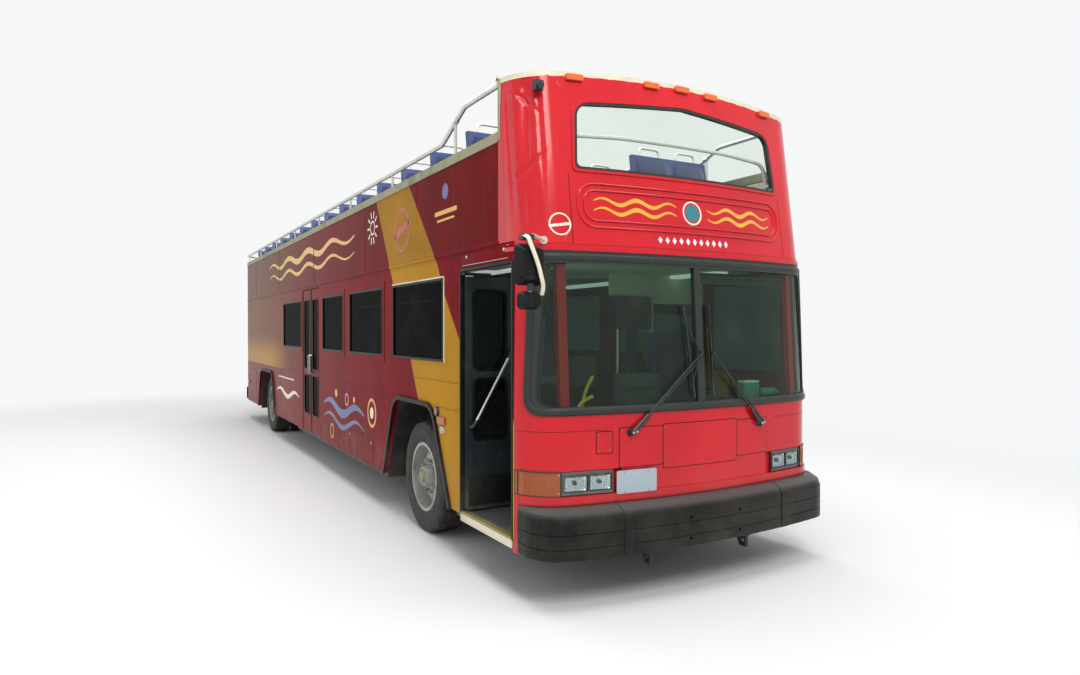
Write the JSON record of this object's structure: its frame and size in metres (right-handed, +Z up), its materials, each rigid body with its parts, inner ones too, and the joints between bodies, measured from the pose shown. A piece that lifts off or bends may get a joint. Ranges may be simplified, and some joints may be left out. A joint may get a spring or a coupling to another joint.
{
  "type": "open top double decker bus",
  "caption": "Open top double decker sightseeing bus with a step-free front doorway, a stair to an open deck with guard rails, steering front wheels and twin rear wheels.",
  "frame": {"origin": "on the ground, below the middle of the overall length and width", "axes": "+X forward, +Y to the driver's side, +Z up"},
  "size_m": [12.4398, 2.955, 3.53],
  "materials": {
    "red_paint": "gloss coach paint",
    "side_paint": "gloss coach paint, weathered",
    "rubber_black": "moulded black rubber",
    "glass_tint": "green tinted safety glass",
    "glass_dark": "dark tinted safety glass",
    "bezel_metal": "dull bright trim",
    "lamp_glass": "clear lamp glass",
    "amber": "amber lens",
    "red_lens": "red lens",
    "rail_metal": "stainless tube",
    "cap_metal": "extruded aluminium, weathered",
    "chassis": "satin black chassis paint",
    "floor_grey": "ribbed floor covering",
    "black_plastic": "grained black plastic",
    "seat_fabric": "seat covering",
    "seat_shell": "moulded seat",
    "tyre_rubber": "worn tyre rubber",
    "wheel_steel": "silver painted steel",
    "cast": "cast iron with road dirt",
    "door_frame": "dark door frame",
    "door_red": "gloss coach paint",
    "mirror_shell": "black mirror housing",
    "arm_metal": "pale painted tube"
  },
  "bodies": {
    "coach": {"amber_lamps": "amber", "arch_flares": "rubber_black", "axles": "cast", "bumpers": "rubber_black", "coaming_cap": "cap_metal", "dash": "black_plastic", "driver_barrier": "black_plastic", "engine_block": "cast", "front_mask": "red_paint", "front_upper_panel": "red_paint", "grab_poles": "rail_metal", "guard_rails": "rail_metal", "headlamp_bezels": "bezel_metal", "headlamps": "lamp_glass", "lower_floor": "floor_grey", "mirror_arms": "arm_metal", "mirror_heads": "mirror_shell", "rear_wall": "side_paint", "red_lamps": "red_lens", "screen_gaskets": "rubber_black", "screens": "glass_tint", "seat_backs": "seat_shell", "seat_bases": "seat_fabric", "side_wall_left": "side_paint", "side_wall_right": "side_paint", "side_windows": "glass_dark", "stair": "floor_grey", "underframe": "chassis", "upper_deck_floor": "floor_grey", "upper_side_left": "side_paint", "upper_side_right": "side_paint", "wheelhouses": "chassis", "wipers": "black_plastic"},
    "knuckle_left": {"knuckle_left": "cast"},
    "knuckle_right": {"knuckle_right": "cast"},
    "wheel_front_left": {"rim_front_left": "wheel_steel", "tyre_front_left": "tyre_rubber"},
    "wheel_front_right": {"rim_front_right": "wheel_steel", "tyre_front_right": "tyre_rubber"},
    "wheels_rear_left": {"rims_rear_left": "wheel_steel", "tyres_rear_left": "tyre_rubber"},
    "wheels_rear_right": {"rims_rear_right": "wheel_steel", "tyres_rear_right": "tyre_rubber"},
    "front_door_arm_rear": {"front_door_arm_rear": "chassis"},
    "front_door_arm_front": {"front_door_arm_front": "chassis"},
    "front_door_leaf_rear": {"front_door_frame_rear": "door_frame", "front_door_glass_rear": "glass_dark"},
    "front_door_leaf_front": {"front_door_frame_front": "door_frame", "front_door_glass_front": "glass_dark"},
    "exit_door_leaf_rear": {"exit_door_frame_rear": "door_red", "exit_door_glass_rear": "glass_dark"},
    "exit_door_leaf_front": {"exit_door_frame_front": "door_red", "exit_door_glass_front": "glass_dark"},
    "engine_door": {"engine_door": "side_paint"}
  },
  "joints": [
    {"name": "steer_left", "type": "hinge", "parent": "coach", "child": "knuckle_left", "pos_m": [3.84, 0.95, 0.48], "axis": [0, 0, 1], "range_deg": [-45, 45]},
    {"name": "steer_right", "type": "hinge", "parent": "coach", "child": "knuckle_right", "pos_m": [3.84, -0.95, 0.48], "axis": [0, 0, 1], "range_deg": [-45, 45]},
    {"name": "spin_front_left", "type": "hinge", "parent": "knuckle_left", "child": "wheel_front_left", "pos_m": [3.84, 1.087, 0.48], "axis": [0, 1, 0], "continuous": true},
    {"name": "spin_front_right", "type": "hinge", "parent": "knuckle_right", "child": "wheel_front_right", "pos_m": [3.84, -1.087, 0.48], "axis": [0, 1, 0], "continuous": true},
    {"name": "spin_rear_left", "type": "hinge", "parent": "coach", "child": "wheels_rear_left", "pos_m": [-3.6, 0.92, 0.48], "axis": [0, 1, 0], "continuous": true},
    {"name": "spin_rear_right", "type": "hinge", "parent": "coach", "child": "wheels_rear_right", "pos_m": [-3.6, -0.92, 0.48], "axis": [0, 1, 0], "continuous": true},
    {"name": "front_door_close", "type": "hinge", "parent": "coach", "child": "front_door_arm_rear", "pos_m": [4.882, -1.275, 2.19], "axis": [0, 0, -1], "range_deg": [0, 90]},
    {"name": "front_door_turn_rear", "type": "hinge", "parent": "front_door_arm_rear", "child": "front_door_leaf_rear", "pos_m": [4.882, -1.0785, 2.19], "axis": [0, 0, 1], "range_deg": [0, 180]},
    {"name": "front_door_close_front", "type": "hinge", "parent": "coach", "child": "front_door_arm_front", "pos_m": [5.668, -1.275, 2.19], "axis": [0, 0, 1], "range_deg": [0, 90]},
    {"name": "front_door_turn_front", "type": "hinge", "parent": "front_door_arm_front", "child": "front_door_leaf_front", "pos_m": [5.668, -1.0785, 2.19], "axis": [0, 0, -1], "range_deg": [0, 180]},
    {"name": "exit_door_open", "type": "hinge", "parent": "coach", "child": "exit_door_leaf_rear", "pos_m": [-0.693, -1.287, 1.35], "axis": [0, 0, -1], "range_deg": [0, 90]},
    {"name": "exit_door_open_front", "type": "hinge", "parent": "coach", "child": "exit_door_leaf_front", "pos_m": [0.293, -1.287, 1.35], "axis": [0, 0, 1], "range_deg": [0, 90]},
    {"name": "engine_door_lift", "type": "hinge", "parent": "coach", "child": "engine_door", "pos_m": [-6.08, 0, 1.443], "axis": [0, 1, 0], "range_deg": [0, 90]}
  ],
  "couplings": [
    {"joint": "steer_right", "follows": "steer_left", "ratio": 1},
    {"joint": "front_door_turn_rear", "follows": "front_door_close", "ratio": 2},
    {"joint": "front_door_close_front", "follows": "front_door_close", "ratio": 1},
    {"joint": "front_door_turn_front", "follows": "front_door_close", "ratio": 2},
    {"joint": "exit_door_open_front", "follows": "exit_door_open", "ratio": 1}
  ]
}
